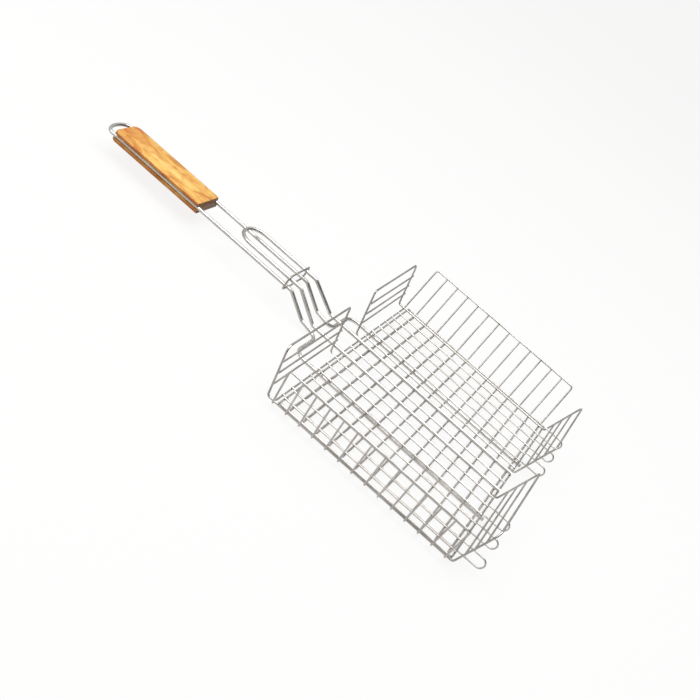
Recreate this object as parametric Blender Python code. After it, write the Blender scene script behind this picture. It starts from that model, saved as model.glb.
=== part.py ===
"""Hinged wire grill basket with a wooden grip, a swinging lid and a sliding clip ring.

Units are metres and +Z is up. The model is laid out in the basket's own frame: X runs from the first cross
wire of the floor to the far end, Y across the basket, and Z = 0 is the mid plane of the floor's cross wires.
The empty "basket_frame" then moves it so that the world origin is below the middle of the whole object, on
the surface that it lies on.
"""
import math

import bmesh
import bpy
from mathutils import Matrix, Vector

MM = 0.001
GAP = 0.3 * MM                    # clearance left where two pieces touch

# Wire radii
GRID_R = 1.15 * MM                # floor, side and lid mesh
FRAME_R = 1.3 * MM                # rims and frames
HANDLE_R = 2.5 * MM               # handle wire and lid loop
CLIP_R = 1.25 * MM

# Floor of the basket
PITCH = 20.0 * MM                 # between cross wires
CROSS_COUNT = 14
FLOOR_LENGTH = PITCH * (CROSS_COUNT - 1)
EDGE_Y = 224.0 * MM               # outermost long wires
LONG_COUNT = 18
LONG_PITCH = 450.0 * MM / (LONG_COUNT - 1)
LONG_Z = 2.0 * GRID_R + GAP       # the long wires lie on the cross wires
LONG_END = 2.5 * MM               # a plain long wire's stub past the end cross wires

# Side panels: the cross wires turned up and a rim
SIDE_FOOT_Y = 225.5 * MM
SIDE_LEAN = math.radians(28.4)
SIDE_RIM_Z = 66.7 * MM
SIDE_CORNER = 4.5 * MM

# End panels, two at each end with a gap between them
END_LEAN = math.radians(15.0)
STEEP_LEAN = math.radians(12.0)   # the panels at the handle end stand steeper
HANDLE_END_X = -9.8 * MM
FAR_END_X = FLOOR_LENGTH + 10.0 * MM
END_RIM_Z = 67.5 * MM
RUNG_Z = (20.1 * MM, 34.0 * MM, 49.6 * MM)
END_OUTER_Y = 225.0 * MM
END_GAP_RIGHT_Y = 36.5 * MM       # the gap is off centre, so the two panels differ in length
END_GAP_LEFT_Y = 53.0 * MM
END_CORNER = 9.0 * MM
HOOK_LENGTH = 4.0 * MM            # the handle end's gap legs end in short hooks

# Curls at the far end that keep the lid's hinge bar
CURL_WIRES = (1, 3, 5, 12, 14, 16)
CURL_R = 7.3 * MM
CURL_X = FLOOR_LENGTH + 34.0 * MM
CURL_TIP_X = FLOOR_LENGTH + 5.5 * MM

# Lid
LID_CLEARANCE = 0.5 * MM           # lets the hinge bar turn above the long wires
LID_Z = LONG_Z + GRID_R + LID_CLEARANCE + FRAME_R
LID_NEAR_X = 6.6 * MM
LID_BAR_X = FLOOR_LENGTH + 5.9 * MM
LID_HALF_Y = 224.3 * MM
LID_CORNER = 4.0 * MM
LID_CROSS_COUNT = 13
LID_LONG_Z = LID_Z + FRAME_R + GAP + GRID_R
LID_LONG_COUNT = 17
SPINE_Y = 29.5 * MM               # the handle loop's two runs on the lid
SPINE_Z = LID_Z + FRAME_R + GAP + HANDLE_R
LOOP_ARM_Y = 25.0 * MM
LOOP_ARM_Z = 36.0 * MM
LOOP_FOOT_X = -49.5 * MM
LOOP_TOP_X = -92.0 * MM
LOOP_TIP_X = -202.0 * MM
LOOP_CORNER = 23.0 * MM
LOOP_BEND = 8.0 * MM

# Handle wire
ARM_Y = 25.0 * MM
ARM_Z = 24.5 * MM
UNDER_Y = 92.0 * MM
UNDER_Z = -(GRID_R + GAP + HANDLE_R)
UNDER_END_X = FLOOR_LENGTH + 12.0 * MM
SHOULDER_X = -37.0 * MM
LEG_FOOT = (-65.6 * MM, 1.4 * MM)             # X, Z
LEG_TOP_X = -100.0 * MM
HANGER_LENGTH = 14.0 * MM

# Wooden grip
GRIP_START_X = -261.6 * MM
GRIP_LENGTH = 155.4 * MM
GRIP_WIDTH = 57.0 * MM
GRIP_THICKNESS = 13.5 * MM
GRIP_Z = ARM_Z - 0.1 * MM
GRIP_SLOPE = 4.3 * MM             # the front face leans back by this much
GRIP_CORNER = 9.0 * MM
GRIP_CHAMFER = 1.2 * MM
GRIP_END_X = GRIP_START_X - GRIP_LENGTH

# Clip ring
CLIP_X = -111.0 * MM
CLIP_HALF_Y = 34.0 * MM
CLIP_CORNER = 5.0 * MM
CLIP_LOW_Z = ARM_Z - HANDLE_R - GAP - CLIP_R
CLIP_HIGH_Z = LOOP_ARM_Z + HANDLE_R + GAP + CLIP_R

# Place of the basket's frame in the world
TAIL_X = GRIP_END_X - HANGER_LENGTH - HANDLE_R
HEAD_X = CURL_X + CURL_R + GRID_R
FRAME_SHIFT = Vector((-0.5 * (TAIL_X + HEAD_X), 0.0, HANDLE_R - UNDER_Z))


def clear_scene():
    """Remove every object of the open scene."""
    for obj in list(bpy.data.objects):
        bpy.data.objects.remove(obj, do_unlink=True)


def make_collection(name):
    collection = bpy.data.collections.new(name)
    bpy.context.scene.collection.children.link(collection)
    return collection


def make_material(name, colour, roughness, metallic):
    material = bpy.data.materials.new(name)
    material.use_nodes = True
    shader = material.node_tree.nodes["Principled BSDF"]
    shader.inputs["Base Color"].default_value = (*colour, 1.0)
    shader.inputs["Roughness"].default_value = roughness
    shader.inputs["Metallic"].default_value = metallic
    return material


def add_empty(name, location, parent=None):
    empty = bpy.data.objects.new(name, None)
    empty.empty_display_size = 0.03
    empty.location = location
    empty.parent = parent
    PARTS.objects.link(empty)
    return empty


def attach(obj, holder):
    """Parent a piece, drawn in the basket's frame, to the frame or to a joint's empty."""
    obj.parent = holder
    if holder.parent is not None:
        obj.matrix_parent_inverse = Matrix.Translation(-holder.location)


def add_wire(name, points, radius, material, holder, closed=False):
    """A round wire along straight steps between the points, with flat ends."""
    curve = bpy.data.curves.new(name, "CURVE")
    curve.dimensions = "3D"
    curve.bevel_depth = radius
    curve.bevel_resolution = 2
    curve.use_fill_caps = True
    spline = curve.splines.new("POLY")
    spline.points.add(len(points) - 1)
    for point, place in zip(spline.points, points):
        point.co = (*place, 1.0)
    spline.use_cyclic_u = closed
    curve.materials.append(material)
    wire = bpy.data.objects.new(name, curve)
    PARTS.objects.link(wire)
    attach(wire, holder)
    return wire


def add_flat(name, outlines, thickness, material, holder, placement):
    """A flat grille: the first outline is its edge and the others are its holes."""
    curve = bpy.data.curves.new(name, "CURVE")
    curve.dimensions = "2D"
    curve.fill_mode = "BOTH"
    curve.extrude = 0.5 * thickness
    for outline in outlines:
        spline = curve.splines.new("POLY")
        spline.points.add(len(outline) - 1)
        for point, (across, along) in zip(spline.points, outline):
            point.co = (across, along, 0.0, 1.0)
        spline.use_cyclic_u = True
    curve.materials.append(material)
    grille = bpy.data.objects.new(name, curve)
    grille.matrix_local = placement
    PARTS.objects.link(grille)
    attach(grille, holder)
    return grille


def as_mesh(obj):
    """Replace a curve object with a mesh object whose caps are welded on."""
    bpy.context.view_layer.update()
    evaluated = obj.evaluated_get(bpy.context.evaluated_depsgraph_get())
    mesh = bpy.data.meshes.new_from_object(evaluated)
    name = obj.name
    holder = obj.parent
    local = obj.matrix_local.copy()
    bpy.data.objects.remove(obj, do_unlink=True)
    shape = bmesh.new()
    shape.from_mesh(mesh)
    bmesh.ops.remove_doubles(shape, verts=shape.verts, dist=0.001 * MM)
    shape.to_mesh(mesh)
    shape.free()
    solid = bpy.data.objects.new(name, mesh)
    solid.matrix_local = local
    PARTS.objects.link(solid)
    attach(solid, holder)
    return solid


def filleted(corners, radii, steps=6):
    """Points along a path whose inner corners are rounded with the given radii."""
    path = [Vector(corners[0])]
    for before, corner, after, radius in zip(corners, corners[1:], corners[2:], radii):
        corner = Vector(corner)
        inward = (Vector(before) - corner).normalized()
        outward = (Vector(after) - corner).normalized()
        half = 0.5 * inward.angle(outward)
        centre = corner + (inward + outward).normalized() * (radius / math.sin(half))
        first = corner + inward * (radius / math.tan(half)) - centre
        last = corner + outward * (radius / math.tan(half)) - centre
        sweep = first.angle(last)
        for step in range(steps + 1):
            part = step / steps
            near = math.sin((1.0 - part) * sweep) / math.sin(sweep)
            far = math.sin(part * sweep) / math.sin(sweep)
            path.append(centre + first * near + last * far)
    path.append(Vector(corners[-1]))
    return path


def rounded_outline(corners, radii):
    """A closed flat outline whose corners are rounded; a radius of 0 leaves a corner sharp."""
    outline = []
    count = len(corners)
    for index, (corner, radius) in enumerate(zip(corners, radii)):
        if radius == 0.0:
            outline.append(corner)
            continue
        trio = (corners[index - 1], corner, corners[(index + 1) % count])
        rounded = filleted([(across, along, 0.0) for across, along in trio], [radius])
        outline.extend((point.x, point.y) for point in rounded[1:-1])
    return outline


def rectangle(low_x, high_x, low_y, high_y):
    return [(low_x, low_y), (high_x, low_y), (high_x, high_y), (low_x, high_y)]


def long_wire_y(index):
    """Y of a floor wire; the two outermost stand just inside the side panels."""
    y = (index - 0.5 * (LONG_COUNT - 1)) * LONG_PITCH
    return max(-EDGE_Y, min(EDGE_Y, y))


def build_floor(holder, steel):
    for index in range(CROSS_COUNT):
        x = index * PITCH
        ends = [(x, -SIDE_FOOT_Y, 0.0), (x, SIDE_FOOT_Y, 0.0)]
        add_wire(f"base_cross_wire_{index + 1:02d}", ends, GRID_R, steel, holder)
    for index in range(LONG_COUNT):
        y = long_wire_y(index)
        if index in (0, LONG_COUNT - 1):
            edge_start = end_panel_inner_x(HANDLE_END_X, -1.0, STEEP_LEAN) + GAP
            edge_end = end_panel_inner_x(FAR_END_X, 1.0, END_LEAN) - GAP
            path = [(edge_start, y, LONG_Z), (edge_end, y, LONG_Z)]
        elif index in CURL_WIRES:
            path = curled_path(y)
        else:
            path = [(-LONG_END, y, LONG_Z), (FLOOR_LENGTH + LONG_END, y, LONG_Z)]
        add_wire(f"base_long_wire_{index + 1:02d}", path, GRID_R, steel, holder)


def end_panel_inner_x(foot_x, outward, lean):
    """X of an end panel's inner face at the height of the floor's long wires."""
    return foot_x + outward * (LONG_Z * math.tan(lean) - FRAME_R / math.cos(lean))


def curled_path(y):
    """A floor wire that runs out past the far end, curls up and comes back over the lid's bar."""
    path = [Vector((-LONG_END, y, LONG_Z))]
    turns = 10
    for step in range(turns + 1):
        angle = math.pi * step / turns
        x = CURL_X + CURL_R * math.sin(angle)
        z = LONG_Z + CURL_R * (1.0 - math.cos(angle))
        path.append(Vector((x, y, z)))
    path.append(Vector((CURL_TIP_X, y, LONG_Z + 2.0 * CURL_R)))
    return path


def side_panel_outline():
    """A comb: fourteen uprights on a rim, in X and in height along the leaning panel."""
    foot = 1.2 * MM
    rim = SIDE_RIM_Z / math.cos(SIDE_LEAN)
    corners = [(FLOOR_LENGTH + GRID_R, rim + FRAME_R), (-GRID_R, rim + FRAME_R)]
    radii = [SIDE_CORNER + GRID_R, SIDE_CORNER + GRID_R]
    for index in range(CROSS_COUNT):
        x = index * PITCH
        first, last = index == 0, index == CROSS_COUNT - 1
        if not first:
            corners.append((x - GRID_R, rim - FRAME_R))
            radii.append(SIDE_CORNER - GRID_R if last else 0.0)
        corners.extend([(x - GRID_R, foot), (x + GRID_R, foot)])
        radii.extend([0.0, 0.0])
        if not last:
            corners.append((x + GRID_R, rim - FRAME_R))
            radii.append(SIDE_CORNER - GRID_R if first else 0.0)
    return rounded_outline(corners, radii)


def build_side_panels(holder, steel):
    outline = side_panel_outline()
    for name, side in (("side_panel_right", -1.0), ("side_panel_left", 1.0)):
        tilt = Matrix.Rotation(math.radians(90.0) - side * SIDE_LEAN, 4, "X")
        placement = Matrix.Translation((0.0, side * SIDE_FOOT_Y, 0.0)) @ tilt
        add_flat(name, [outline], 2.0 * GRID_R, steel, holder, placement)


def end_panel_outlines(gap_y, lean):
    """A ladder: two legs, a rim with round corners and three rungs, open below the lowest rung."""
    to_slope = 1.0 / math.cos(lean)
    rim = END_RIM_Z * to_slope
    rungs = [height * to_slope for height in RUNG_Z]
    foot = 0.5 * MM
    low, high = gap_y, END_OUTER_Y
    corners = [
        (low - FRAME_R, foot), (low + FRAME_R, foot),
        (low + FRAME_R, rungs[0] - GRID_R), (high - FRAME_R, rungs[0] - GRID_R),
        (high - FRAME_R, foot), (high + FRAME_R, foot),
        (high + FRAME_R, rim + FRAME_R), (low - FRAME_R, rim + FRAME_R),
    ]
    outer_r = END_CORNER + FRAME_R
    inner_r = END_CORNER - FRAME_R
    outlines = [rounded_outline(corners, [0.0] * 6 + [outer_r, outer_r])]
    tops = rungs[1:] + [rim - FRAME_R + GRID_R]
    for bottom, top in zip(rungs, tops):
        hole = rectangle(low + FRAME_R, high - FRAME_R, bottom + GRID_R, top - GRID_R)
        upper = inner_r if top == tops[-1] else 0.0
        outlines.append(rounded_outline(hole, [0.0, 0.0, upper, upper]))
    return outlines


def build_end_panels(holder, steel):
    for end_name, foot_x, outward in (("handle_end", HANDLE_END_X, -1.0), ("far_end", FAR_END_X, 1.0)):
        for side_name, side, gap_y in (("right", -1.0, END_GAP_RIGHT_Y), ("left", 1.0, END_GAP_LEFT_Y)):
            lean = STEEP_LEAN if outward < 0.0 else END_LEAN
            outlines = end_panel_outlines(gap_y, lean)
            mirrored = [[(side * across, along) for across, along in outline] for outline in outlines]
            upright = Matrix(((0, 0, 1, 0), (1, 0, 0, 0), (0, 1, 0, 0), (0, 0, 0, 1)))
            tilt = Matrix.Rotation(outward * lean, 4, "Y")
            placement = Matrix.Translation((foot_x, 0.0, 0.0)) @ tilt @ upright
            name = f"{end_name}_panel_{side_name}"
            flat = add_flat(name, mirrored, 2.0 * FRAME_R, steel, holder, placement)
            panel = as_mesh(flat)
            if outward < 0.0:
                add_foot(panel, foot_x, foot_x + HOOK_LENGTH, side * gap_y, holder)
            else:
                add_foot(panel, FLOOR_LENGTH + GRID_R + GAP, foot_x, side * gap_y, holder)


def add_foot(panel, low_x, high_x, y, holder):
    """Join a foot to a panel's gap leg: a hook, or a run in to the floor's last cross wire."""
    shape = bmesh.new()
    bmesh.ops.create_cube(shape, size=1.0)
    bmesh.ops.scale(shape, vec=(high_x - low_x, 2.0 * GRID_R, 2.0 * GRID_R), verts=shape.verts)
    centre = (0.5 * (low_x + high_x), y, GRID_R + 0.3 * MM)
    bmesh.ops.translate(shape, vec=centre, verts=shape.verts)
    mesh = bpy.data.meshes.new(panel.name + "_foot")
    shape.to_mesh(mesh)
    shape.free()
    foot = bpy.data.objects.new(panel.name + "_foot", mesh)
    foot.hide_render = True
    foot.display_type = "WIRE"
    CUTTERS.objects.link(foot)
    attach(foot, holder)
    union = panel.modifiers.new("foot", "BOOLEAN")
    union.operation = "UNION"
    union.solver = "EXACT"
    union.object = foot


def handle_half_path(side):
    """One half of the handle wire, from its end under the floor to the start of the hanging loop."""
    arm = side * ARM_Y
    under = side * UNDER_Y
    corners = [
        (UNDER_END_X, under, UNDER_Z),
        (SHOULDER_X, under, UNDER_Z),
        (SHOULDER_X, arm, UNDER_Z),
        (LEG_FOOT[0], arm, LEG_FOOT[1]),
        (LEG_TOP_X, arm, ARM_Z),
        (GRIP_END_X, arm, ARM_Z),
    ]
    radii = (18.0 * MM, 12.0 * MM, 6.0 * MM, 8.0 * MM)
    return filleted(corners, radii)


def build_handle(holder, steel):
    path = handle_half_path(-1.0)
    steps = 16
    for step in range(1, steps):
        angle = math.pi * step / steps
        x = GRIP_END_X - HANGER_LENGTH * math.sin(angle)
        y = -ARM_Y * math.cos(angle)
        path.append(Vector((x, y, ARM_Z)))
    path.extend(reversed(handle_half_path(1.0)))
    add_wire("handle_wire", path, HANDLE_R, steel, holder)


def build_grip(holder, wood):
    """A wooden block, chamfered, with round rear corners, a leaning front and two bores for the wire."""
    shape = bmesh.new()
    bmesh.ops.create_cube(shape, size=1.0)
    bmesh.ops.scale(shape, vec=(GRIP_LENGTH, GRIP_WIDTH, GRIP_THICKNESS), verts=shape.verts)
    rear = [edge for edge in shape.edges if is_rear_corner(edge)]
    bmesh.ops.bevel(shape, geom=rear, offset=GRIP_CORNER, segments=3, profile=0.5, affect="EDGES")
    for vertex in shape.verts:
        if vertex.co.x > 0.0 and vertex.co.z > 0.0:
            vertex.co.x -= GRIP_SLOPE
    flat = [edge for edge in shape.edges if abs(edge.verts[0].co.z - edge.verts[1].co.z) < 0.1 * MM]
    bmesh.ops.bevel(shape, geom=flat, offset=GRIP_CHAMFER, segments=2, profile=0.6, affect="EDGES")
    mesh = bpy.data.meshes.new("wooden_grip")
    shape.to_mesh(mesh)
    shape.free()
    mesh.materials.append(wood)
    grip = bpy.data.objects.new("wooden_grip", mesh)
    grip.location = (GRIP_START_X - 0.5 * GRIP_LENGTH, 0.0, GRIP_Z)
    PARTS.objects.link(grip)
    attach(grip, holder)
    for name, side in (("groove_right", -1.0), ("groove_left", 1.0)):
        cut_groove(grip, name, side * ARM_Y, holder)


def is_rear_corner(edge):
    first, second = edge.verts[0].co, edge.verts[1].co
    upright = abs(first.z - second.z) > 0.5 * GRIP_THICKNESS
    return upright and first.x < 0.0 and second.x < 0.0


def cut_groove(grip, name, y, holder):
    shape = bmesh.new()
    radius = HANDLE_R + GAP
    length = GRIP_LENGTH + 20.0 * MM
    bmesh.ops.create_cone(shape, cap_ends=True, segments=16, radius1=radius, radius2=radius, depth=length)
    bmesh.ops.rotate(shape, matrix=Matrix.Rotation(math.radians(90.0), 3, "Y"), verts=shape.verts)
    mesh = bpy.data.meshes.new(name)
    shape.to_mesh(mesh)
    shape.free()
    cutter = bpy.data.objects.new(name, mesh)
    cutter.location = (GRIP_START_X - 0.5 * GRIP_LENGTH, y, ARM_Z)
    cutter.hide_render = True
    cutter.display_type = "WIRE"
    CUTTERS.objects.link(cutter)
    attach(cutter, holder)
    cut = grip.modifiers.new(name, "BOOLEAN")
    cut.operation = "DIFFERENCE"
    cut.solver = "EXACT"
    cut.object = cutter


def build_lid(holder, steel):
    """The lid: a frame with cross wires, and on top of them the long wires and the thick handle loop."""
    low_x, high_x = LID_NEAR_X, LID_BAR_X
    edge = rectangle(low_x - FRAME_R, high_x + FRAME_R, -LID_HALF_Y - FRAME_R, LID_HALF_Y + FRAME_R)
    outlines = [rounded_outline(edge, [LID_CORNER + FRAME_R] * 4)]
    bars = [low_x] + [(index + 1) * PITCH for index in range(LID_CROSS_COUNT)] + [high_x]
    halves = [FRAME_R] + [GRID_R] * LID_CROSS_COUNT + [FRAME_R]
    inside_y = LID_HALF_Y - FRAME_R
    spaces = zip(bars, bars[1:], halves, halves[1:])
    inner_r = LID_CORNER - FRAME_R
    for bar, next_bar, half, next_half in spaces:
        hole = rectangle(bar + half, next_bar - next_half, -inside_y, inside_y)
        low_r = inner_r if bar == low_x else 0.0
        high_r = inner_r if next_bar == high_x else 0.0
        outlines.append(rounded_outline(hole, [low_r, high_r, high_r, low_r]))
    placement = Matrix.Translation((0.0, 0.0, LID_Z))
    add_flat("lid_frame", outlines, 2.0 * FRAME_R, steel, holder, placement)
    middle = LID_LONG_COUNT // 2
    number = 0
    for index in range(LID_LONG_COUNT):
        step = index - middle
        if abs(step) == 1:
            continue                  # the handle loop's two runs take their place
        number += 1
        y = step * LONG_PITCH
        ends = [(low_x - GRID_R, y, LID_LONG_Z), (high_x + 0.5 * GRID_R, y, LID_LONG_Z)]
        add_wire(f"lid_long_wire_{number:02d}", ends, GRID_R, steel, holder)
    build_lid_loop(holder, steel)


def build_lid_loop(holder, steel):
    half = [
        (LID_BAR_X + 1.0 * MM, SPINE_Y, SPINE_Z),
        (LOOP_FOOT_X, SPINE_Y, SPINE_Z),
        (LOOP_TOP_X, LOOP_ARM_Y, LOOP_ARM_Z),
        (LOOP_TIP_X, LOOP_ARM_Y, LOOP_ARM_Z),
    ]
    other = [(x, -y, z) for x, y, z in reversed(half)]
    radii = (LOOP_BEND, LOOP_BEND, LOOP_CORNER, LOOP_CORNER, LOOP_BEND, LOOP_BEND)
    add_wire("lid_loop", filleted(half + other, radii), HANDLE_R, steel, holder)


def build_clip(holder, steel):
    """A flattened wire ring round the two handle arms and the two arms of the lid loop."""
    corners = rectangle(-CLIP_HALF_Y, CLIP_HALF_Y, CLIP_LOW_Z, CLIP_HIGH_Z)
    path = [(CLIP_X, y, z) for y, z in rounded_outline(corners, [CLIP_CORNER] * 4)]
    add_wire("clip_ring", path, CLIP_R, steel, holder, closed=True)


clear_scene()
PARTS = make_collection("grill_basket")
CUTTERS = make_collection("grill_basket_cutters")
GRID_STEEL = make_material("grid_steel", (0.62, 0.61, 0.59), 0.28, 1.0)
LOOP_STEEL = make_material("handle_steel", (0.68, 0.67, 0.65), 0.22, 1.0)
GRIP_WOOD = make_material("grip_wood", (0.80, 0.47, 0.14), 0.45, 0.0)

basket_frame = add_empty("basket_frame", FRAME_SHIFT)
lid_hinge = add_empty("lid_hinge_axis", (LID_BAR_X, 0.0, LID_Z), basket_frame)
clip_slide = add_empty("clip_slide_axis", (CLIP_X, 0.0, ARM_Z), basket_frame)

build_floor(basket_frame, GRID_STEEL)
build_side_panels(basket_frame, GRID_STEEL)
build_end_panels(basket_frame, GRID_STEEL)
build_handle(basket_frame, LOOP_STEEL)
build_grip(basket_frame, GRIP_WOOD)
build_lid(lid_hinge, LOOP_STEEL)
build_clip(clip_slide, LOOP_STEEL)
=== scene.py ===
"""The looks of a hinged wire grill basket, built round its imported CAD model.

Lengths are in millimetres in the basket's own frame, as in the CAD source: X from the first cross wire of
the floor to the far end, Y across the basket, Z up from the mid plane of the floor's cross wires. place()
turns them into the model's metres.
"""

import math
import random

import bmesh
import bpy
from mathutils import Euler, Matrix, Vector


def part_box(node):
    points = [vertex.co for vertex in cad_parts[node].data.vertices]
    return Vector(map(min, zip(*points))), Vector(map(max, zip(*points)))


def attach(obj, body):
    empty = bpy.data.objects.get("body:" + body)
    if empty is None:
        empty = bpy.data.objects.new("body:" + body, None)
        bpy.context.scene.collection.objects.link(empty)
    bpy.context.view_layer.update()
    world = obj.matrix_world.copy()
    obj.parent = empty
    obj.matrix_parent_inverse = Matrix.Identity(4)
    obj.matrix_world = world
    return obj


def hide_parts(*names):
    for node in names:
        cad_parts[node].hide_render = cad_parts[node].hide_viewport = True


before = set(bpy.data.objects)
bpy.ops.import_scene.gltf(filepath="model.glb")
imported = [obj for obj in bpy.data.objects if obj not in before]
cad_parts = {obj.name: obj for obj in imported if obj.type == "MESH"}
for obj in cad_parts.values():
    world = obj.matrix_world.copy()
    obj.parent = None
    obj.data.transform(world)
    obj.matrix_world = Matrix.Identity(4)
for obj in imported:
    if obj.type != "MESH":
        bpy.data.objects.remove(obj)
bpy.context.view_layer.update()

MM = 0.001
LOW, HIGH = 0, 1                  # the two corners of a box
HANDLE_END, FAR_END = -1, 1
END_NAMES = {HANDLE_END: "handle_end", FAR_END: "far_end"}
DICE = random.Random(20)
WHITE = (1.0, 1.0, 1.0)


# ---------------------------------------------------------------- places taken from the CAD model

def middle(node):
    low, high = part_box(node)
    return 0.5 * (low + high)


ORIGIN = Vector((middle("base_cross_wire_01").x, 0.0, middle("base_cross_wire_01").z))


def place(x, y, z):
    """A point of the basket's frame, in millimetres, in the model's metres."""
    return ORIGIN + Vector((x, y, z)) * MM


def local(point):
    """The inverse of place()."""
    return (Vector(point) - ORIGIN) / MM


GRID_R = 1.15
RIM_R = 1.25
FRAME_R = 1.3
HANDLE_R = 2.5
CLIP_R = 1.25
SINK = 0.12                       # how far a welded wire sinks into the wire that it crosses
WAVER = 0.12                      # how uneven a straight run is

# Floor and sides
CROSS_X = [local(middle(f"base_cross_wire_{number:02d}")).x for number in range(1, 15)]
LONG_Y = [local(middle(f"base_long_wire_{number:02d}")).y for number in range(1, 19)]
LONG_Z = 2.0 * GRID_R - SINK
LONG_STUB = 1.3                   # a long wire's end past the end cross wires
FLOOR_END = CROSS_X[-1]
SIDE_FOOT_Y = local(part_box("base_cross_wire_01")[HIGH]).y
SIDE_LEAN = math.radians(28.4)
SIDE_JITTER = 0.25
SIDE_BEND = 4.0
RIM_BELOW_TOP = 1.7
RIM_CORNER = 4.5
SIDE_RIM_Z = local(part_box("side_panel_left")[HIGH]).z - RIM_BELOW_TOP
SIDE_RIM_Y = SIDE_FOOT_Y + SIDE_RIM_Z * math.tan(SIDE_LEAN)

# End panels: their foot is END_FOOT_X outside the end cross wire
LEAN = {HANDLE_END: math.radians(12.0), FAR_END: math.radians(15.0)}
END_RIM_Z = 67.5
END_FOOT_X = 9.8
END_OUTER_Y = 223.6
END_CORNER = 9.0
END_BEND = 4.0
GAP_RIGHT_Y = 36.5
GAP_LEFT_Y = 53.0
HOOK_LENGTH = 4.0                 # at the handle end the legs beside the gap end in short hooks
HOOK_DROP = 0.6
HOOK_BEND = 3.0
FAR_LEG_PAST = 1.2                # at the far end they run in past the last cross wire
RUNG_Z = (20.1, 34.0, 49.6)
RUNG_JITTER = 0.4
# The far rungs lie deeper in their frame, so that the open lid rests on the panels
RUNG_INSET = {HANDLE_END: FRAME_R + 0.6, FAR_END: 0.6}
RUNG_OVERHANG = {HANDLE_END: 1.4, FAR_END: 0.3}
RUNG_SPOT_INSET = {HANDLE_END: 0.9, FAR_END: 0.2}
RUNG_SPOT_R = {HANDLE_END: 1.6, FAR_END: 1.4}

# Curls at the far end that keep the lid's hinge bar
CURL_NUMBERS = (2, 4, 6, 13, 15, 17)
CURL_START_X = FLOOR_END + 4.0
CURL_LOW_Z = LONG_Z + 0.42        # the wire rises a little on its way out
CURL_X = FLOOR_END + 34.0
CURL_R = 7.3
CURL_TIP_X = FLOOR_END + 5.5
CURL_LEAN = 0.6

# Lid
LID_Z = local(middle("lid_frame")).z
LID_LOW, LID_HIGH = (local(corner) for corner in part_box("lid_frame"))
LID_NEAR_X = LID_LOW.x + FRAME_R
LID_BAR_X = LID_HIGH.x - FRAME_R
LID_HALF_Y = LID_HIGH.y - FRAME_R
LID_CORNER = 5.0
LID_CROSS_X = [number * CROSS_X[1] for number in range(1, 14)]
LID_CROSS_STUB = 0.7
LID_LONG_STUB = 0.9               # past the frame at the near side
LID_LONG_SHORT = 0.3              # short of the hinge bar's middle
LID_LONG_Y = [local(middle(f"lid_long_wire_{number:02d}")).y for number in range(1, 16)]
LID_LONG_Z = LID_Z + 2.0 * GRID_R - SINK
SPINE_Y = 29.5                    # the handle loop's two runs on the lid
SPINE_Z = LID_Z + GRID_R + HANDLE_R - 2.0 * SINK
SPINE_STUB = 0.8

# Handle wire, lid loop and clip
ARM_Y = 25.0
ARM_Z = 24.5
UNDER_Y = 92.0                    # the two runs under the floor
UNDER_Z = -GRID_R - HANDLE_R + SINK
UNDER_END_X = local(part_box("handle_wire")[HIGH]).x
SHOULDER_X = -37.0
STEP_FOOT_X = -65.6
STEP_FOOT_Z = 1.4
STEP_TOP_X = -100.0
HANDLE_BENDS = (18.0, 12.0, 7.0, 9.0)
HANGER_LENGTH = 14.0
HANGER_FULLNESS = 0.8             # below 1 the hanging loop is squarer than half a wave
LOOP_ARM_Z = 36.0
LOOP_FOOT_X = -49.5
LOOP_TOP_X = -92.0
LOOP_TIP_X = local(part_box("lid_loop")[LOW]).x + HANDLE_R
LOOP_BENDS = (8.0, 9.0, 23.0, 23.0, 9.0, 8.0)
CLIP_X = local(middle("clip_ring")).x
CLIP_FORWARD = 1.0                # the ring's middle, in front of the CAD ring's

# Weld spots
GRID_SPOT_R = 1.25
RIM_SPOT_R = 1.7
RIM_SPOT_INSET = 0.5
FRAME_SPOT_R = 1.5
SPINE_SPOT_R = 1.6
SPINE_SPOT_RISE = 1.1
SPOT_FLATNESS = 0.62

# Wooden grip
GRIP_LOW, GRIP_HIGH = (local(corner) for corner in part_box("wooden_grip"))
GRIP_SLOPE = 4.3                  # how far the front end's top is set back
GRIP_FRONT_CORNER = 1.5
GRIP_REAR_CORNER = 10.0
GRIP_EDGE = 1.3
CHANNEL_ROOM = 0.25
CUTTER_PAST = 10.0                # how far the channels' cutters stick out of the grip's ends
CUTTER_SIDE_Y = 40.0


# ---------------------------------------------------------------- node materials

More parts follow.
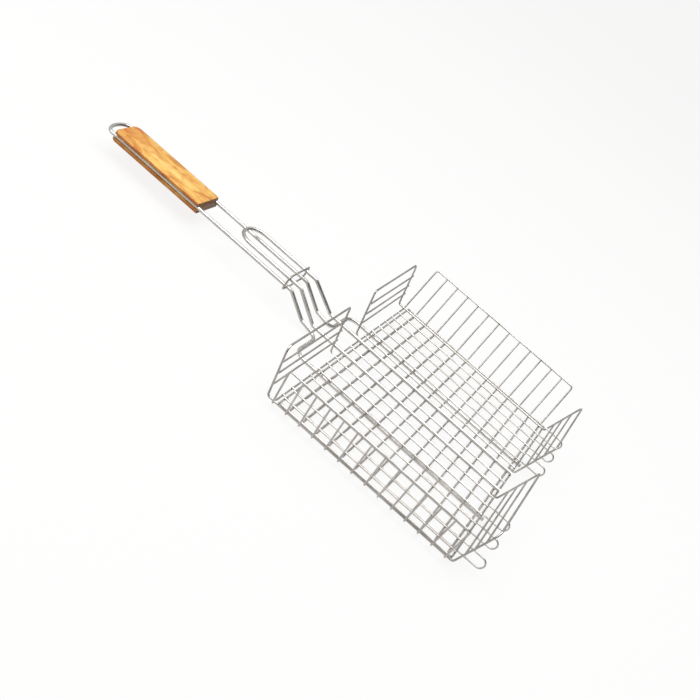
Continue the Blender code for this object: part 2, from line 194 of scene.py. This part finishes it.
class Nodes:
    """A short way to write a material's node tree; lengths in it are in metres."""

    def __init__(self, name):
        self.material = bpy.data.materials.new(name)
        self.material.use_nodes = True
        self.tree = self.material.node_tree
        self.shader = self.tree.nodes["Principled BSDF"]

    def add(self, kind, settings=None, **inputs):
        node = self.tree.nodes.new("ShaderNode" + kind)
        for name, value in (settings or {}).items():
            setattr(node, name, value)
        for name, value in inputs.items():
            self.link(value, node.inputs[name.replace("_", " ")])
        return node

    def link(self, value, socket):
        if isinstance(value, bpy.types.NodeSocket):
            self.tree.links.new(value, socket)
        else:
            socket.default_value = value

    def set(self, **inputs):
        for name, value in inputs.items():
            self.link(value, self.shader.inputs[name.replace("_", " ")])

    def space(self, scale):
        """Object coordinates, stretched by a scale for each axis."""
        source = self.add("TexCoord").outputs["Object"]
        return self.add("Mapping", Vector=source, Scale=scale).outputs["Vector"]

    def noise(self, scale, detail=3.0, roughness=0.5, stretch=(1.0, 1.0, 1.0), distortion=0.0):
        node = self.add("TexNoise", Vector=self.space(stretch), Scale=scale, Detail=detail,
                        Roughness=roughness, Distortion=distortion)
        return node.outputs["Fac"]

    def ramp(self, factor, *stops):
        """A colour ramp; each stop is a position and a colour."""
        node = self.add("ValToRGB", Fac=factor)
        points = node.color_ramp.elements
        for index, (position, colour) in enumerate(stops):
            point = points[index] if index < 2 else points.new(position)
            point.position = position
            point.color = (*colour, 1.0)
        return node.outputs["Color"]

    def math(self, operation, first, second):
        node = self.tree.nodes.new("ShaderNodeMath")
        node.operation = operation
        self.link(first, node.inputs[0])
        self.link(second, node.inputs[1])
        return node.outputs[0]

    def spread(self, value, low, high, to_low, to_high):
        """A value from low to high, turned into one from to_low to to_high."""
        node = self.add("MapRange", Value=value)
        node.inputs["From Min"].default_value = low
        node.inputs["From Max"].default_value = high
        node.inputs["To Min"].default_value = to_low
        node.inputs["To Max"].default_value = to_high
        return node.outputs["Result"]

    def mix(self, factor, first, second, blend="MIX"):
        node = self.tree.nodes.new("ShaderNodeMix")
        node.data_type = "RGBA"
        node.blend_type = blend
        self.link(factor, node.inputs[0])
        self.link(first, node.inputs[6])
        self.link(second, node.inputs[7])
        return node.outputs[2]

    def bump(self, height, strength, distance, below=None):
        node = self.add("Bump", Height=height, Strength=strength, Distance=distance)
        if below is not None:
            self.link(below, node.inputs["Normal"])
        return node.outputs["Normal"]


def drawn_steel(name, pale, dark, roughness, along):
    """Plated steel wire with fine drawing lines along it, dull patches and faint warm stains."""
    nodes = Nodes(name)
    lines = [240.0, 240.0, 240.0]
    if along is not None:
        lines[along] = 6.0
    streaks = nodes.noise(9.0, detail=4.0, roughness=0.6, stretch=tuple(lines))
    patches = nodes.noise(28.0, detail=4.0, roughness=0.6)
    stains = nodes.noise(75.0, detail=5.0, roughness=0.7)
    # pale and dark set each copy's tone, and that tone differs between the copies by painted light; the
    # patches between the two tones belong to the plating.
    plate = nodes.ramp(patches, (0.32, dark), (0.66, pale))
    warm = nodes.ramp(stains, (0.60, WHITE), (0.78, (0.86, 0.76, 0.66)))
    plate = nodes.mix(1.0, plate, warm, "MULTIPLY")
    shade = nodes.ramp(streaks, (0.30, (0.80, 0.80, 0.80)), (0.62, WHITE))
    plate = nodes.mix(0.7, plate, shade, "MULTIPLY")
    grain = nodes.spread(nodes.math("ADD", streaks, stains), 0.7, 1.3, roughness - 0.08, roughness + 0.14)
    bumps = nodes.bump(streaks, 0.25, 0.00008)
    bumps = nodes.bump(nodes.noise(900.0, detail=2.0), 0.12, 0.00005, bumps)
    nodes.set(Base_Color=plate, Metallic=1.0, Roughness=grain, Normal=bumps)
    return nodes.material


def weld_steel(name):
    """The small fused spots where wires cross: rough, grey and slightly burnt."""
    nodes = Nodes(name)
    burn = nodes.noise(420.0, detail=4.0, roughness=0.65)
    colour = nodes.ramp(burn, (0.30, (0.10, 0.085, 0.075)), (0.70, (0.34, 0.32, 0.30)))
    rough = nodes.spread(burn, 0.3, 0.7, 0.55, 0.35)
    nodes.set(Base_Color=colour, Metallic=0.9, Roughness=rough, Normal=nodes.bump(burn, 0.4, 0.0002))
    return nodes.material


def varnished_wood(name):
    """Amber varnished wood: grain along X, mottled orange, redder sides and dark brown end faces, partly real
    varnish and end grain, partly painted shade.
    """
    nodes = Nodes(name)
    slow = nodes.noise(34.0, detail=3.0, stretch=(0.60, 1.2, 1.2), distortion=1.0)
    fibres = nodes.noise(60.0, detail=7.0, roughness=0.65, stretch=(0.12, 3.2, 3.2), distortion=0.35)
    blotch = nodes.noise(85.0, detail=5.0, roughness=0.65, stretch=(0.7, 1.0, 1.0), distortion=0.8)
    amber = nodes.ramp(slow, (0.36, (0.62, 0.27, 0.035)), (0.50, (0.80, 0.46, 0.095)),
                       (0.64, (0.86, 0.58, 0.17)))
    grain = nodes.ramp(fibres, (0.34, (0.74, 0.55, 0.40)), (0.56, WHITE))
    body = nodes.mix(0.45, amber, grain, "MULTIPLY")
    spots = nodes.ramp(blotch, (0.46, WHITE), (0.64, (0.74, 0.47, 0.24)))
    body = nodes.mix(0.75, body, spots, "MULTIPLY")
    along = nodes.add("SeparateXYZ", Vector=nodes.add("TexCoord").outputs["Object"]).outputs["X"]
    rear_x = place(GRIP_LOW.x, 0.0, 0.0).x
    rear = nodes.spread(along, rear_x + 4.0 * MM, rear_x + 58.0 * MM, 0.70, 0.0)
    rear = nodes.math("MULTIPLY", rear, nodes.spread(blotch, 0.38, 0.62, 0.45, 1.0))
    body = nodes.mix(rear, body, (0.52, 0.15, 0.010, 1.0))
    facing = nodes.add("SeparateXYZ", Vector=nodes.add("NewGeometry").outputs["Normal"])
    # Painted shade, partly real varnish colour: faces that turn away from straight up are mixed to a darker,
    # redder brown.
    side = nodes.spread(facing.outputs["Z"], 0.35, 0.80, 0.80, 0.0)
    red_varnish_and_shade = nodes.mix(1.0, body, (0.52, 0.30, 0.22, 1.0), "MULTIPLY")
    body = nodes.mix(side, body, red_varnish_and_shade)
    # Painted shade, partly real end grain: faces that point along X are mixed to a dark brown.
    end = nodes.spread(nodes.math("ABSOLUTE", facing.outputs["X"], 0.0), 0.65, 0.92, 0.0, 0.9)
    rings = nodes.noise(90.0, detail=5.0, roughness=0.7, stretch=(1.0, 0.5, 1.6))
    end_grain_and_shade = nodes.ramp(rings, (0.36, (0.055, 0.020, 0.006)), (0.64, (0.17, 0.072, 0.022)))
    body = nodes.mix(end, body, end_grain_and_shade)
    sheen = nodes.spread(fibres, 0.3, 0.7, 0.52, 0.36)
    relief = nodes.bump(fibres, 0.22, 0.0003)
    relief = nodes.bump(blotch, 0.10, 0.0006, relief)
    nodes.set(Base_Color=body, Roughness=sheen, Normal=relief, Coat_Weight=0.25, Coat_Roughness=0.28,
              Specular_IOR_Level=0.4)
    return nodes.material


# Copies of one plated steel whose tones differ by painted light: the lengthwise and handle copies are paler,
# a painted highlight, and the crosswise and frame copies are darker, a painted shade.
STEEL_X_PAINTED_HIGHLIGHT = drawn_steel("grid_steel_lengthwise_painted_highlight", (0.82, 0.80, 0.77), (0.64, 0.615, 0.59), 0.36, 0)
STEEL_Y_PAINTED_SHADE = drawn_steel("grid_steel_crosswise_painted_shade", (0.74, 0.71, 0.68), (0.50, 0.47, 0.45), 0.32, 1)
STEEL_BENT = drawn_steel("frame_steel", (0.74, 0.71, 0.68), (0.47, 0.445, 0.42), 0.28, None)
STEEL_THICK_PAINTED_HIGHLIGHT = drawn_steel("handle_steel", (0.86, 0.84, 0.81), (0.62, 0.60, 0.575), 0.24, 0)
WELD = weld_steel("weld_steel")
WOOD = varnished_wood("varnished_wood")


# ---------------------------------------------------------------- wires

def rounded(corners, radii, steps=8):
    """Points of a path, in millimetres, whose inner corners are rounded."""
    if not isinstance(radii, (list, tuple)):
        radii = [radii] * (len(corners) - 2)
    path = [Vector(corners[0])]
    for before, corner, after, radius in zip(corners, corners[1:], corners[2:], radii):
        corner = Vector(corner)
        inward = (Vector(before) - corner).normalized()
        outward = (Vector(after) - corner).normalized()
        half = 0.5 * inward.angle(outward)
        centre = corner + (inward + outward).normalized() * (radius / math.sin(half))
        first = corner + inward * (radius / math.tan(half)) - centre
        last = corner + outward * (radius / math.tan(half)) - centre
        sweep = first.angle(last)
        for step in range(steps + 1):
            part = step / steps
            near = math.sin((1.0 - part) * sweep) / math.sin(sweep)
            far = math.sin(part * sweep) / math.sin(sweep)
            path.append(centre + first * near + last * far)
    path.append(Vector(corners[-1]))
    return path


def closed_path(corners, radii, steps=8):
    """The same for a closed wire: it starts and ends halfway along its first side."""
    start = 0.5 * (Vector(corners[0]) + Vector(corners[1]))
    ring = [start] + [Vector(corner) for corner in corners[1:]] + [Vector(corners[0]), start]
    order = list(radii[1:]) + [radii[0]]
    return rounded(ring, order, steps)[:-1]


def straight(first, last, pieces):
    """A straight run, with the slight unevenness of real wire."""
    first, last = Vector(first), Vector(last)
    path = []
    for step in range(pieces + 1):
        point = first.lerp(last, step / pieces)
        if 0 < step < pieces:
            point.z += DICE.uniform(-0.5, 0.5) * WAVER
            if abs(last.x - first.x) > abs(last.y - first.y):
                point.y += DICE.uniform(-1.0, 1.0) * WAVER
            else:
                point.x += DICE.uniform(-1.0, 1.0) * WAVER
        path.append(point)
    return path


def wire(name, path, radius, material, body, stands_for=(), closed=False, fineness=4):
    """A round wire through points in millimetres; stands_for names the CAD nodes that it replaces."""
    curve = bpy.data.curves.new(name, "CURVE")
    curve.dimensions = "3D"
    curve.bevel_depth = radius * MM
    curve.bevel_resolution = fineness
    curve.use_fill_caps = True
    spline = curve.splines.new("POLY")
    spline.points.add(len(path) - 1)
    for point, spot in zip(spline.points, path):
        point.co = (*place(*spot), 1.0)
    spline.use_cyclic_u = closed
    spline.use_smooth = True
    curve.materials.append(material)
    piece = bpy.data.objects.new(name, curve)
    bpy.context.scene.collection.objects.link(piece)
    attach(piece, body)
    if stands_for:
        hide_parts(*stands_for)


def build_floor():
    """Cross wires turned up at both sides, and the long wires that lie on them."""
    for number in range(2, 14):
        x = CROSS_X[number - 1]
        jitter = DICE.uniform(-SIDE_JITTER, SIDE_JITTER)
        corners = [
            (x + jitter, -SIDE_RIM_Y, SIDE_RIM_Z),
            (x, -SIDE_FOOT_Y, 0.0),
            (x, SIDE_FOOT_Y, 0.0),
            (x - jitter, SIDE_RIM_Y, SIDE_RIM_Z),
        ]
        path = rounded(corners, SIDE_BEND)
        node = f"base_cross_wire_{number:02d}"
        wire(f"cross_wire_{number:02d}", path, GRID_R, STEEL_Y_PAINTED_SHADE, "basket", [node])
    for number in range(2, 18):
        y = LONG_Y[number - 1]
        node = f"base_long_wire_{number:02d}"
        path = straight((-LONG_STUB, y, LONG_Z), (FLOOR_END + LONG_STUB, y, LONG_Z), pieces=7)
        if number in CURL_NUMBERS:
            path = path[:-1] + curl(y)
        wire(f"long_wire_{number:02d}", path, GRID_R, STEEL_X_PAINTED_HIGHLIGHT, "basket", [node])


def curl(y):
    """The end of a floor wire that turns up and back over the lid's far bar."""
    path = [Vector((CURL_START_X, y, LONG_Z))]
    steps = 14
    for step in range(steps + 1):
        angle = math.pi * step / steps
        x = CURL_X + CURL_R * math.sin(angle)
        z = CURL_LOW_Z + CURL_R * (1.0 - math.cos(angle))
        path.append(Vector((x, y, z)))
    lean = DICE.uniform(-CURL_LEAN, CURL_LEAN)
    path.append(Vector((CURL_TIP_X, y + lean, CURL_LOW_Z + 2.0 * CURL_R)))
    return path


def build_rim():
    """One closed wire: both side rims, and the first and last cross wires."""
    corners = [
        (0.0, -SIDE_FOOT_Y, 0.0), (0.0, SIDE_FOOT_Y, 0.0),
        (0.0, SIDE_RIM_Y, SIDE_RIM_Z), (FLOOR_END, SIDE_RIM_Y, SIDE_RIM_Z),
        (FLOOR_END, SIDE_FOOT_Y, 0.0), (FLOOR_END, -SIDE_FOOT_Y, 0.0),
        (FLOOR_END, -SIDE_RIM_Y, SIDE_RIM_Z), (0.0, -SIDE_RIM_Y, SIDE_RIM_Z),
    ]
    path = closed_path(corners, [SIDE_BEND, SIDE_BEND, RIM_CORNER, RIM_CORNER] * 2)
    nodes = ["side_panel_right", "side_panel_left", "base_cross_wire_01", "base_cross_wire_14"]
    wire("rim_wire", path, RIM_R, STEEL_BENT, "basket", nodes, closed=True)


def panel_point(end, y, height):
    """A point of the plane of the end panels at HANDLE_END or FAR_END."""
    foot_x = -END_FOOT_X if end == HANDLE_END else FLOOR_END + END_FOOT_X
    return (foot_x + end * height * math.tan(LEAN[end]), y, height)


def build_edges():
    """Each side's end panels and the outermost floor wire are one bent wire, with rungs in the panels."""
    for side, side_name, gap in ((-1, "right", GAP_RIGHT_Y), (1, "left", GAP_LEFT_Y)):
        outer = side * END_OUTER_Y
        inner = side * gap
        wire_z = GRID_R + FRAME_R - SINK
        corners = [
            (-END_FOOT_X + HOOK_LENGTH, inner, wire_z - HOOK_DROP),
            (-END_FOOT_X, inner, wire_z),
            panel_point(HANDLE_END, inner, END_RIM_Z), panel_point(HANDLE_END, outer, END_RIM_Z),
            (-END_FOOT_X, outer, wire_z), (FLOOR_END + END_FOOT_X, outer, wire_z),
            panel_point(FAR_END, outer, END_RIM_Z), panel_point(FAR_END, inner, END_RIM_Z),
            (FLOOR_END + END_FOOT_X, inner, wire_z),
            (FLOOR_END - FAR_LEG_PAST, inner, wire_z),
        ]
        radii = [HOOK_BEND, END_BEND, END_CORNER, END_BEND, END_BEND, END_CORNER, END_BEND, HOOK_BEND]
        path = rounded(corners, radii)
        number = 1 if side < 0 else 18
        nodes = [f"{end_name}_panel_{side_name}" for end_name in END_NAMES.values()]
        nodes.append(f"base_long_wire_{number:02d}")
        wire(f"edge_wire_{side_name}", path, FRAME_R, STEEL_BENT, "basket", nodes)
        for end, end_name in END_NAMES.items():
            overhang = side * RUNG_OVERHANG[end]
            inward = Vector((-end * RUNG_INSET[end], 0.0, 0.0))
            for level, height in enumerate(RUNG_Z, 1):
                first = panel_point(end, inner - overhang, height + DICE.uniform(-RUNG_JITTER, RUNG_JITTER))
                last = panel_point(end, outer + overhang, height + DICE.uniform(-RUNG_JITTER, RUNG_JITTER))
                path = [point + inward for point in straight(first, last, pieces=4)]
                name = f"{end_name}_rung_{side_name}_{level}"
                wire(name, path, GRID_R, STEEL_Y_PAINTED_SHADE, "basket")


def handle_half(side):
    """Half of the handle wire: under the floor, out at a shoulder, up a step and along an arm to the grip."""
    arm = side * ARM_Y
    under = side * UNDER_Y
    corners = [
        (UNDER_END_X, under, UNDER_Z), (SHOULDER_X, under, UNDER_Z), (SHOULDER_X, arm, UNDER_Z),
        (STEP_FOOT_X, arm, STEP_FOOT_Z), (STEP_TOP_X, arm, ARM_Z), (GRIP_LOW.x, arm, ARM_Z),
    ]
    return rounded(corners, HANDLE_BENDS, steps=10)


def build_handle():
    """The whole handle wire: its two halves, joined by the hanging loop behind the grip."""
    path = handle_half(-1.0)
    steps = 24
    for step in range(1, steps):
        angle = math.pi * step / steps
        reach = HANGER_LENGTH * math.sin(angle) ** HANGER_FULLNESS
        path.append(Vector((GRIP_LOW.x - reach, -ARM_Y * math.cos(angle), ARM_Z)))
    path.extend(reversed(handle_half(1.0)))
    wire("handle_bent_wire", path, HANDLE_R, STEEL_THICK_PAINTED_HIGHLIGHT, "basket", ["handle_wire"],
         fineness=6)


def build_lid():
    """The lid's frame, its cross wires, the long wires on top of them, and the thick handle loop."""
    corners = [
        (LID_NEAR_X, -LID_HALF_Y, LID_Z), (LID_NEAR_X, LID_HALF_Y, LID_Z),
        (LID_BAR_X, LID_HALF_Y, LID_Z), (LID_BAR_X, -LID_HALF_Y, LID_Z),
    ]
    path = closed_path(corners, [LID_CORNER] * 4)
    wire("lid_frame_wire", path, FRAME_R, STEEL_BENT, "lid", ["lid_frame"], closed=True)
    end_y = LID_HALF_Y + LID_CROSS_STUB
    for number, x in enumerate(LID_CROSS_X, 1):
        path = straight((x, -end_y, LID_Z), (x, end_y, LID_Z), pieces=9)
        wire(f"lid_cross_wire_{number:02d}", path, GRID_R, STEEL_Y_PAINTED_SHADE, "lid")
    near_x, far_x = LID_NEAR_X - LID_LONG_STUB, LID_BAR_X - LID_LONG_SHORT
    for number, y in enumerate(LID_LONG_Y, 1):
        node = f"lid_long_wire_{number:02d}"
        path = straight((near_x, y, LID_LONG_Z), (far_x, y, LID_LONG_Z), pieces=7)
        wire(f"lid_lengthwise_wire_{number:02d}", path, GRID_R, STEEL_X_PAINTED_HIGHLIGHT, "lid", [node])
    half = [
        (LID_BAR_X + SPINE_STUB, SPINE_Y, SPINE_Z), (LOOP_FOOT_X, SPINE_Y, SPINE_Z),
        (LOOP_TOP_X, ARM_Y, LOOP_ARM_Z), (LOOP_TIP_X, ARM_Y, LOOP_ARM_Z),
    ]
    other = [(x, -y, z) for x, y, z in reversed(half)]
    path = rounded(half + other, LOOP_BENDS, steps=12)
    wire("lid_handle_loop", path, HANDLE_R, STEEL_THICK_PAINTED_HIGHLIGHT, "lid", ["lid_loop"], fineness=6)


def build_clip():
    """A closed ring of springy wire, a little bent and tilted."""
    low, high = (local(corner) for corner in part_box("clip_ring"))
    low_z, high_z = low.z + CLIP_R, high.z - CLIP_R
    half_y = high.y - CLIP_R
    x = CLIP_X + CLIP_FORWARD
    corners = [
        (x + 0.4, -half_y - 1.0, low_z + 0.5), (x + 0.9, -9.0, low_z - 0.4), (x + 0.4, 11.0, low_z + 1.0),
        (x, 29.5, low_z), (x - 0.6, half_y + 0.8, high_z), (x - 1.0, 2.0, high_z - 0.8),
        (x - 0.3, -29.5, high_z),
    ]
    path = closed_path(corners, [5.0, 22.0, 22.0, 4.5, 4.5, 60.0, 4.5])
    wire("clip_wire_ring", path, CLIP_R, STEEL_BENT, "clip", ["clip_ring"], closed=True,
         fineness=5)


def add_mesh(name, shape, material, body, stands_for=()):
    """A piece made from a bmesh, which is used up."""
    mesh = bpy.data.meshes.new(name)
    shape.to_mesh(mesh)
    shape.free()
    mesh.materials.append(material)
    piece = bpy.data.objects.new(name, mesh)
    bpy.context.scene.collection.objects.link(piece)
    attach(piece, body)
    if stands_for:
        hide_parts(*stands_for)
    return piece


def add_spots(name, spots, body):
    """Small flattened weld beads, joined in one piece; each spot is a point and a radius."""
    shape = bmesh.new()
    for (x, y, z), radius in spots:
        size = radius * MM * DICE.uniform(0.85, 1.15)
        turn = Euler((0.0, 0.0, DICE.uniform(0.0, math.pi))).to_matrix().to_4x4()
        flattened = Matrix.Diagonal((size, size, SPOT_FLATNESS * size, 1.0))
        matrix = Matrix.Translation(place(x, y, z)) @ turn @ flattened
        bmesh.ops.create_icosphere(shape, subdivisions=1, radius=1.0, matrix=matrix)
    piece = add_mesh(name, shape, WELD, body)
    piece.data.shade_smooth()


def build_welds():
    """A bead at each crossing of the floor, the rims, the end panels' rungs and the lid."""
    floor = []
    for x in CROSS_X:
        for y in LONG_Y:
            floor.append(((x, y, 0.5 * LONG_Z), GRID_SPOT_R))
    add_spots("floor_weld_spots", floor, "basket")
    sides = []
    for x in CROSS_X[1:-1]:
        for side in (-1.0, 1.0):
            sides.append(((x, side * (SIDE_RIM_Y - RIM_SPOT_INSET), SIDE_RIM_Z), RIM_SPOT_R))
    for side, gap in ((-1.0, GAP_RIGHT_Y), (1.0, GAP_LEFT_Y)):
        for end in (HANDLE_END, FAR_END):
            for height in RUNG_Z:
                for y in (side * gap, side * END_OUTER_Y):
                    x, y, z = panel_point(end, y, height)
                    sides.append(((x - end * RUNG_SPOT_INSET[end], y, z), RUNG_SPOT_R[end]))
    add_spots("rim_weld_spots", sides, "basket")
    lid = []
    for x in [LID_NEAR_X] + LID_CROSS_X + [LID_BAR_X]:
        for y in LID_LONG_Y:
            lid.append(((x, y, 0.5 * (LID_Z + LID_LONG_Z)), GRID_SPOT_R))
        for side in (-1.0, 1.0):
            lid.append(((x, side * SPINE_Y, LID_Z + SPINE_SPOT_RISE), SPINE_SPOT_R))
            lid.append(((x, side * LID_HALF_Y, LID_Z), FRAME_SPOT_R))
    add_spots("lid_weld_spots", lid, "lid")


# ---------------------------------------------------------------- wooden grip

def build_grip():
    """A varnished block with soft edges, round rear corners and a channel along each side for the wire."""
    half_y = GRIP_HIGH.y
    rear, front = GRIP_LOW.x, GRIP_HIGH.x
    outline = closed_path(
        [(front, -half_y, 0.0), (front, half_y, 0.0), (rear, half_y, 0.0), (rear, -half_y, 0.0)],
        [GRIP_FRONT_CORNER, GRIP_FRONT_CORNER, GRIP_REAR_CORNER, GRIP_REAR_CORNER], steps=6)
    shape = bmesh.new()
    low = [shape.verts.new(place(point.x, point.y, GRIP_LOW.z)) for point in outline]
    base = shape.faces.new(low)
    result = bmesh.ops.extrude_face_region(shape, geom=[base])
    top = [item for item in result["geom"] if isinstance(item, bmesh.types.BMVert)]
    bmesh.ops.translate(shape, vec=(0.0, 0.0, (GRIP_HIGH.z - GRIP_LOW.z) * MM), verts=top)
    middle_x = place(0.5 * (rear + front), 0.0, 0.0).x
    for vertex in top:
        if vertex.co.x > middle_x:
            vertex.co.x -= GRIP_SLOPE * MM
    bmesh.ops.recalc_face_normals(shape, faces=shape.faces)
    grip = add_mesh("varnished_grip", shape, WOOD, "basket", ["wooden_grip"])
    bevel = grip.modifiers.new("soft_edges", "BEVEL")
    bevel.width = GRIP_EDGE * MM
    bevel.segments = 4
    bevel.limit_method = "ANGLE"
    bevel.angle_limit = math.radians(40.0)
    for name, side in (("channel_right", -1.0), ("channel_left", 1.0)):
        cutter = channel_cutter(name, side)
        cut = grip.modifiers.new(name, "BOOLEAN")
        cut.operation = "DIFFERENCE"
        cut.solver = "EXACT"
        cut.object = cutter
        bpy.context.view_layer.update()
        finish = bpy.data.meshes.new_from_object(grip.evaluated_get(bpy.context.evaluated_depsgraph_get()))
        grip.modifiers.clear()
        grip.data = finish
        bpy.data.objects.remove(cutter, do_unlink=True)
    grip.data.shade_smooth()
    grip.data.set_sharp_from_angle(angle=math.radians(38.0))


def channel_cutter(name, side):
    """A round bottomed slot, open at the grip's side."""
    radius = HANDLE_R + CHANNEL_ROOM
    profile = [(side * CUTTER_SIDE_Y, ARM_Z + radius)]
    steps = 10
    for step in range(steps + 1):
        angle = math.pi * (0.5 + step / steps)
        profile.append((side * (ARM_Y + radius * math.cos(angle)), ARM_Z + radius * math.sin(angle)))
    profile.append((side * CUTTER_SIDE_Y, ARM_Z - radius))
    shape = bmesh.new()
    ring = [shape.verts.new(place(GRIP_LOW.x - CUTTER_PAST, y, z)) for y, z in profile]
    face = shape.faces.new(ring)
    result = bmesh.ops.extrude_face_region(shape, geom=[face])
    moved = [item for item in result["geom"] if isinstance(item, bmesh.types.BMVert)]
    length = GRIP_HIGH.x - GRIP_LOW.x + 2.0 * CUTTER_PAST
    bmesh.ops.translate(shape, vec=(length * MM, 0.0, 0.0), verts=moved)
    bmesh.ops.recalc_face_normals(shape, faces=shape.faces)
    mesh = bpy.data.meshes.new(name)
    shape.to_mesh(mesh)
    shape.free()
    cutter = bpy.data.objects.new(name, mesh)
    bpy.context.scene.collection.objects.link(cutter)
    return cutter


# ---------------------------------------------------------------- studio, in metres

STUDIO_HALF_WIDTH = 20.0
CENTRE = (0.0, 0.0, 0.0)


def studio_paper():
    """White paper that shows only a trace of shadow, and is grey where the metal mirrors it."""
    nodes = Nodes("studio_paper")
    nodes.set(Base_Color=(0.10, 0.10, 0.10, 1.0), Roughness=0.9, Specular_IOR_Level=0.0,
              Emission_Color=(0.93, 0.93, 0.925, 1.0), Emission_Strength=0.93)
    paper = nodes.shader.outputs["BSDF"]
    mirrored = nodes.add("Emission", Color=(0.66, 0.65, 0.64, 1.0)).outputs[0]
    choice = nodes.add("MixShader")
    nodes.link(nodes.add("LightPath").outputs["Is Glossy Ray"], choice.inputs[0])
    nodes.link(paper, choice.inputs[1])
    nodes.link(mirrored, choice.inputs[2])
    nodes.link(choice.outputs[0], nodes.tree.nodes["Material Output"].inputs["Surface"])
    return nodes.material


def build_floor_plane():
    """The studio's floor, under the whole object."""
    shape = bmesh.new()
    bmesh.ops.create_grid(shape, x_segments=1, y_segments=1, size=STUDIO_HALF_WIDTH)
    mesh = bpy.data.meshes.new("studio_floor")
    shape.to_mesh(mesh)
    shape.free()
    mesh.materials.append(studio_paper())
    floor = bpy.data.objects.new("studio_floor", mesh)
    bpy.context.scene.collection.objects.link(floor)


def add_area_light(name, location, size, power):
    """A soft rectangular light that faces the object."""
    data = bpy.data.lights.new(name, "AREA")
    data.shape = "RECTANGLE"
    data.size, data.size_y = size
    data.energy = power
    lamp = bpy.data.objects.new(name, data)
    lamp.location = location
    lamp.rotation_euler = (Vector(CENTRE) - Vector(location)).to_track_quat("-Z", "Y").to_euler()
    bpy.context.scene.collection.objects.link(lamp)


def world_ramp(tree, factor, *stops):
    """A ramp with two stops; each is a position and a colour."""
    ramp = tree.nodes.new("ShaderNodeValToRGB")
    tree.links.new(factor, ramp.inputs["Fac"])
    for element, (position, colour) in zip(ramp.color_ramp.elements, stops):
        element.position = position
        element.color = (*colour, 1.0)
    return ramp.outputs["Color"]


def build_world():
    """Pale to the camera; to the metal, a dim room with a brighter ceiling, and darker beyond the far end."""
    world = bpy.data.worlds.new("studio")
    world.use_nodes = True
    tree = world.node_tree
    tree.nodes.clear()
    direction = tree.nodes.new("ShaderNodeSeparateXYZ")
    tree.links.new(tree.nodes.new("ShaderNodeTexCoord").outputs["Generated"], direction.inputs[0])
    height = world_ramp(tree, direction.outputs["Z"], (0.05, (0.30, 0.295, 0.29)), (0.75, (0.80, 0.80, 0.80)))
    ahead = world_ramp(tree, direction.outputs["X"], (0.25, WHITE), (0.45, (0.12, 0.12, 0.12)))
    shaded = tree.nodes.new("ShaderNodeMix")
    shaded.data_type = "RGBA"
    shaded.blend_type = "MULTIPLY"
    shaded.inputs[0].default_value = 1.0
    tree.links.new(height, shaded.inputs[6])
    tree.links.new(ahead, shaded.inputs[7])
    room = tree.nodes.new("ShaderNodeBackground")
    tree.links.new(shaded.outputs[2], room.inputs["Color"])
    pale = tree.nodes.new("ShaderNodeBackground")
    pale.inputs["Color"].default_value = (0.95, 0.95, 0.95, 1.0)
    choice = tree.nodes.new("ShaderNodeMixShader")
    tree.links.new(tree.nodes.new("ShaderNodeLightPath").outputs["Is Camera Ray"], choice.inputs[0])
    tree.links.new(room.outputs[0], choice.inputs[1])
    tree.links.new(pale.outputs[0], choice.inputs[2])
    output = tree.nodes.new("ShaderNodeOutputWorld")
    tree.links.new(choice.outputs[0], output.inputs["Surface"])
    bpy.context.scene.world = world


def build_camera():
    """A camera above the basket's right side, looking down at it with a tilted frame."""
    view = Vector((-0.11245, 0.88938, -0.44312)).normalized()
    level = view.cross(Vector((0.0, 0.0, 1.0))).normalized()
    upright = level.cross(view)
    roll = math.radians(38.25)
    right = level * math.cos(roll) + upright * math.sin(roll)
    up = right.cross(view)
    data = bpy.data.cameras.new("camera")
    data.lens = 62.34
    data.sensor_width = 36.0
    data.clip_end = 100.0
    camera = bpy.data.objects.new("camera", data)
    turn = Matrix((right, up, -view)).transposed().to_4x4()
    camera.matrix_world = Matrix.Translation(place(181.6, -1404.4, 703.4)) @ turn
    bpy.context.scene.collection.objects.link(camera)
    bpy.context.scene.camera = camera


build_floor_plane()
build_world()
add_area_light("ceiling_light", location=(-0.1, -0.1, 2.2), size=(0.7, 3.4), power=46.0)
add_area_light("left_light", location=(-1.9, -1.3, 1.5), size=(1.0, 1.0), power=14.0)
build_camera()
bpy.context.scene.view_settings.view_transform = "Standard"

build_floor()
build_rim()
build_edges()
build_handle()
build_lid()
build_clip()
build_welds()
build_grip()

bpy.context.view_layer.update()
